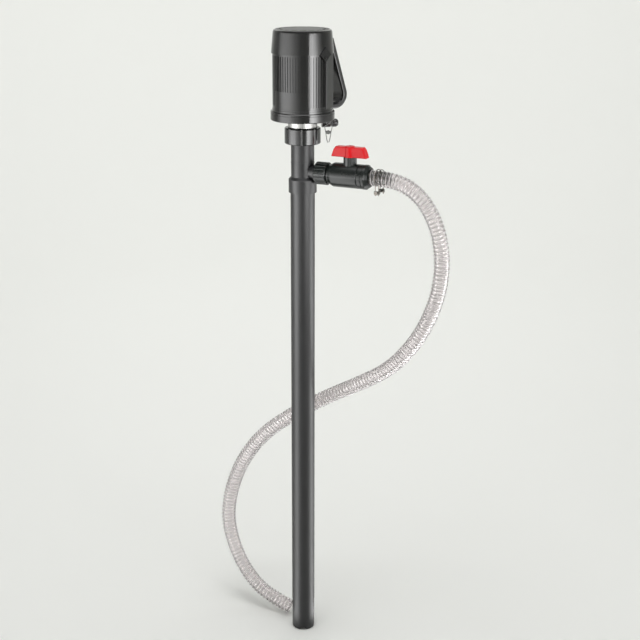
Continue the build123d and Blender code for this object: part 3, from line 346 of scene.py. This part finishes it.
strip_distance = 1.8
strip_top = 0.7
strip_grid = 60
strip_lift = 7
right_strip_turn = 8
for index, radiance in enumerate((1.3, 1.35, 1.05, 0.6, 0.28, 0.12)):
    softbox("right_strip", -34.5 + right_strip_turn * index, right_strip_turn, strip_distance, -0.4,
            strip_top, radiance, strip_grid, strip_lift)
left_strip_turn = 10
for index, radiance in enumerate((0.12, 0.3, 0.41, 0.42, 0.4, 0.34, 0.24, 0.14, 0.06)):
    softbox("left_strip", -158 + left_strip_turn * index, left_strip_turn, strip_distance, -0.5, strip_top,
            radiance, strip_grid, strip_lift)
low_panel_distance = 1.25
low_panel_top = -0.08
glow_lift = 0.001
glow_spread = 0.7
glow_radiance = 4.0
for turn in (27, -129):
    low = softbox("low_softbox", turn, 40, low_panel_distance, floor_level, low_panel_top, 5.0)
    low.visible_diffuse = False
    for near, far in ((0.06, 0.2), (0.2, 0.5), (0.5, low_panel_distance)):
        floor_glow(turn, near, far)
ceiling_panel("overhead_softbox", -0.6, 2.6, 2.4, 2.0, 4.5, 0)
ceiling_panel("sweep_light", 2.4, 2.9, 4.0, 3.0, 2.1, 45)

world = bpy.data.worlds.new("studio_air")
bpy.context.scene.world = world
world.use_nodes = True
world.node_tree.nodes["Background"].inputs["Color"].default_value = (0.95, 0.96, 0.95, 1)
world.node_tree.nodes["Background"].inputs["Strength"].default_value = 0.29
bpy.context.scene.view_settings.view_transform = "Standard"


# Suction tube and foot: extruded and moulded charcoal plastic with a soft sheen, welded end to end.
# The foot is plain, with four shallow arched inlets in its rim.
def moulded(name, colour, roughness, variation=0.12, grain=0.00004, grain_scale=900, grain_stretch=(1, 1, 1),
            specular=0.5, metallic=0.0):
    """Moulded or drawn material: slight patches of colour and gloss, and a fine grain in the surface."""
    material = bpy.data.materials.new(name)
    material.use_nodes = True
    nodes, links = material.node_tree.nodes, material.node_tree.links
    shader = nodes["Principled BSDF"]
    place = nodes.new("ShaderNodeTexCoord")
    patches = nodes.new("ShaderNodeTexNoise")
    patches.inputs["Scale"].default_value = 35
    patches.inputs["Detail"].default_value = 4
    links.new(place.outputs["Object"], patches.inputs["Vector"])
    shade = nodes.new("ShaderNodeMix")
    shade.data_type = "RGBA"
    shade.inputs["A"].default_value = (*[part * (1 - variation) for part in colour], 1)
    shade.inputs["B"].default_value = (*[min(1.0, part * (1 + variation)) for part in colour], 1)
    links.new(patches.outputs["Fac"], shade.inputs["Factor"])
    links.new(shade.outputs["Result"], shader.inputs["Base Color"])
    gloss = nodes.new("ShaderNodeMapRange")
    gloss.inputs["To Min"].default_value = roughness * 0.85
    gloss.inputs["To Max"].default_value = roughness * 1.15
    links.new(patches.outputs["Fac"], gloss.inputs["Value"])
    links.new(gloss.outputs["Result"], shader.inputs["Roughness"])
    fine = nodes.new("ShaderNodeTexNoise")
    fine.inputs["Scale"].default_value = grain_scale
    fine.inputs["Detail"].default_value = 2
    stretched = nodes.new("ShaderNodeMapping")
    stretched.inputs["Scale"].default_value = grain_stretch
    links.new(place.outputs["Object"], stretched.inputs["Vector"])
    links.new(stretched.outputs["Vector"], fine.inputs["Vector"])
    bump = nodes.new("ShaderNodeBump")
    bump.inputs["Distance"].default_value = grain
    bump.inputs["Strength"].default_value = 0.6
    links.new(fine.outputs["Fac"], bump.inputs["Height"])
    links.new(bump.outputs["Normal"], shader.inputs["Normal"])
    shader.inputs["Specular IOR Level"].default_value = specular
    shader.inputs["Metallic"].default_value = metallic
    return material


def dressed(material, *names):
    """Gives CAD pieces that keep their shape a better material."""
    for name in names:
        mesh = frame["nodes"][name].data
        mesh.materials.clear()
        mesh.materials.append(material)


members_of_body = frame["record"]["behaviour"]["bodies"]
body_of_node = {node: body for body, members in members_of_body.items() for node in members}


def eased(node, material, width, segments=2, smooth_degrees=40):
    """Copy of a CAD piece with its sharp edges eased as a mould or a tool leaves them, in its place."""
    bpy.ops.object.select_all(action="DESELECT")
    piece = frame["nodes"][node].copy()
    piece.data = frame["nodes"][node].data.copy()
    piece.name = node + "_finished"
    piece.parent = None
    for key in list(piece.keys()):
        del piece[key]
    bpy.context.scene.collection.objects.link(piece)
    bpy.context.view_layer.objects.active = piece
    piece.select_set(True)
    bpy.ops.object.mode_set(mode="EDIT")
    bpy.ops.mesh.select_all(action="SELECT")
    bpy.ops.mesh.remove_doubles(threshold=0.000001)
    bpy.ops.mesh.dissolve_limited(angle_limit=math.radians(0.5))
    bpy.ops.object.mode_set(mode="OBJECT")
    edge = piece.modifiers.new("eased_edge", "BEVEL")
    edge.width = width
    edge.segments = segments
    edge.limit_method = "ANGLE"
    edge.angle_limit = math.radians(smooth_degrees)
    bpy.ops.object.modifier_apply(modifier=edge.name)
    bpy.ops.object.shade_smooth_by_angle(angle=math.radians(smooth_degrees))
    normals = piece.modifiers.new("even_light", "WEIGHTED_NORMAL")
    normals.keep_sharp = True
    bpy.ops.object.modifier_apply(modifier=normals.name)
    piece.data.materials.clear()
    piece.data.materials.append(material)
    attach(piece, body_of_node[node])
    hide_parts(node)
    return piece


pipe_black = moulded("pipe_black", (0.008, 0.008, 0.009), 0.42, grain=0.00003, grain_stretch=(1, 1, 0.02))
dressed(pipe_black, "shaft_guides", "vane_carrier")
eased("suction_tube", pipe_black, 0.0004)
eased("foot_strainer", pipe_black, 0.0006)

# Tee: one moulding of the same plastic, with the socket that the tube is glued into, the neck that the
# union nut screws on to, and the branch.
eased("discharge_tee", pipe_black, 0.0006)

# Union nut and collar: a black moulded nut with grip lobes, held by a snap ring on a turned and polished
# aluminium collar that the motor is screwed to.
nut_black = moulded("nut_black", (0.008, 0.008, 0.008), 0.20)
eased("union_nut", nut_black, 0.0008, 3)
polished_aluminium = moulded("polished_aluminium", (0.36, 0.36, 0.35), 0.42, variation=0.05, metallic=1.0,
                             grain_stretch=(0, 0, 1))
eased("mounting_collar", polished_aluminium, 0.0004)

# Motor: glossy black mouldings. The base plate, the grooved shell and the tapered cap are screwed
# together, and the carry handle is held between cap and base.
motor_black = moulded("motor_black", (0.006, 0.006, 0.006), 0.14)
eased("motor_base", motor_black, 0.0006, 3)
eased("motor_housing", motor_black, 0.0003)
cap = eased("motor_cap", motor_black, 0.0008, 3)
cap_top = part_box("motor_cap")[1][2]
flat_top_depth = 0.004
cap.data.materials.append(moulded("cap_grain", (0.006, 0.006, 0.006), 0.35, grain=0.0001, grain_scale=700))
for face in cap.data.polygons:
    if face.normal.z > 0.995 and face.center.z > cap_top - flat_top_depth:
        face.material_index = 1
eased("motor_handle", motor_black, 0.0004)
plated_steel = moulded("plated_steel", (0.56, 0.55, 0.52), 0.28, variation=0.08, metallic=1.0)
blackened_steel = moulded("blackened_steel", (0.03, 0.03, 0.03), 0.3, variation=0.08, metallic=0.6)
dressed(blackened_steel, "cap_screws", "base_screws", "handle_screw")
dressed(plated_steel, "collar_screws", "nut_snap_ring", "earth_screw")

# Gland and earthing clip: the black gland slants out under the rim of the base, and the bright sprung
# clip hangs from its bracket beside it.
eased("gland_nut", nut_black, 0.0005, 3)
eased("gland_body", nut_black, 0.0004)
bright_steel = moulded("bright_steel", (0.34, 0.34, 0.34), 0.16, variation=0.1, metallic=1.0)
for node in ("earth_bracket", "clip_still_jaw", "clip_sprung_jaw", "clip_pin", "clip_spring"):
    dressed(bright_steel, node)

# Valve: dark grey-green mouldings joined to the branch by a nut, with a red lever on the stem. The
# lever's wings are hollow underneath, and a screw from above holds it.
valve_green = moulded("valve_green", (0.008, 0.010, 0.009), 0.26, specular=0.32)
for node in ("branch_nut", "valve_body", "valve_end_nut"):
    eased(node, valve_green, 0.0006, 2)
dressed(valve_green, "valve_tail", "seat_retainer", "valve_stem")
lever_red = moulded("lever_red", (0.46, 0.009, 0.012), 0.20, specular=0.12)
eased("valve_handle", lever_red, 0.0009, 3)

# Barb and clamp: the barb is moulded in the valve's plastic and shows dark through the hose. The
# clamp is two loops of dark steel wire, drawn together below by a cross bolt.
barb_olive = moulded("barb_olive", (0.030, 0.030, 0.020), 0.4)
dressed(barb_olive, "hose_barb")
dark_steel = moulded("dark_steel", (0.12, 0.11, 0.10), 0.24, variation=0.15, metallic=1.0)
dressed(dark_steel, "clamp_band", "clamp_bolt", "clamp_nut")

# Inner pieces: ground shafts and bearings, wound copper, rubber seals and moulded bushes. They are fitted
# from the ends before the outer pieces close on them, and show only when the pump is taken apart.
ground_steel = moulded("ground_steel", (0.6, 0.6, 0.6), 0.22, variation=0.05, metallic=1.0)
dressed(ground_steel, "ball_bearings", "drive_shaft", "motor_shaft", "impeller_nut")
core_steel = moulded("core_steel", (0.18, 0.18, 0.19), 0.45, metallic=0.8)
dressed(core_steel, "field_core", "armature_core")
wound_copper = moulded("wound_copper", (0.58, 0.24, 0.11), 0.35, metallic=1.0)
dressed(wound_copper, "field_coils", "armature_winding", "commutator")
drawn_brass = moulded("drawn_brass", (0.62, 0.46, 0.2), 0.3, metallic=1.0)
dressed(drawn_brass, "brush_holders")
pressed_carbon = moulded("pressed_carbon", (0.03, 0.03, 0.03), 0.6)
dressed(pressed_carbon, "carbon_brushes")
soft_rubber = moulded("soft_rubber", (0.012, 0.012, 0.012), 0.6)
dressed(soft_rubber, "branch_o_ring", "collar_o_ring", "stem_o_ring", "shaft_seal", "gland_seal")
white_polymer = moulded("white_polymer", (0.75, 0.75, 0.71), 0.4)
dressed(white_polymer, "foot_bush", "impeller", "ball_seats", "valve_ball")
fan_grey = moulded("fan_grey", (0.05, 0.05, 0.05), 0.5)
dressed(fan_grey, "cooling_fan", "lower_coupling_half", "upper_coupling_half")
dressed(polished_aluminium, "upper_bearing_bracket")
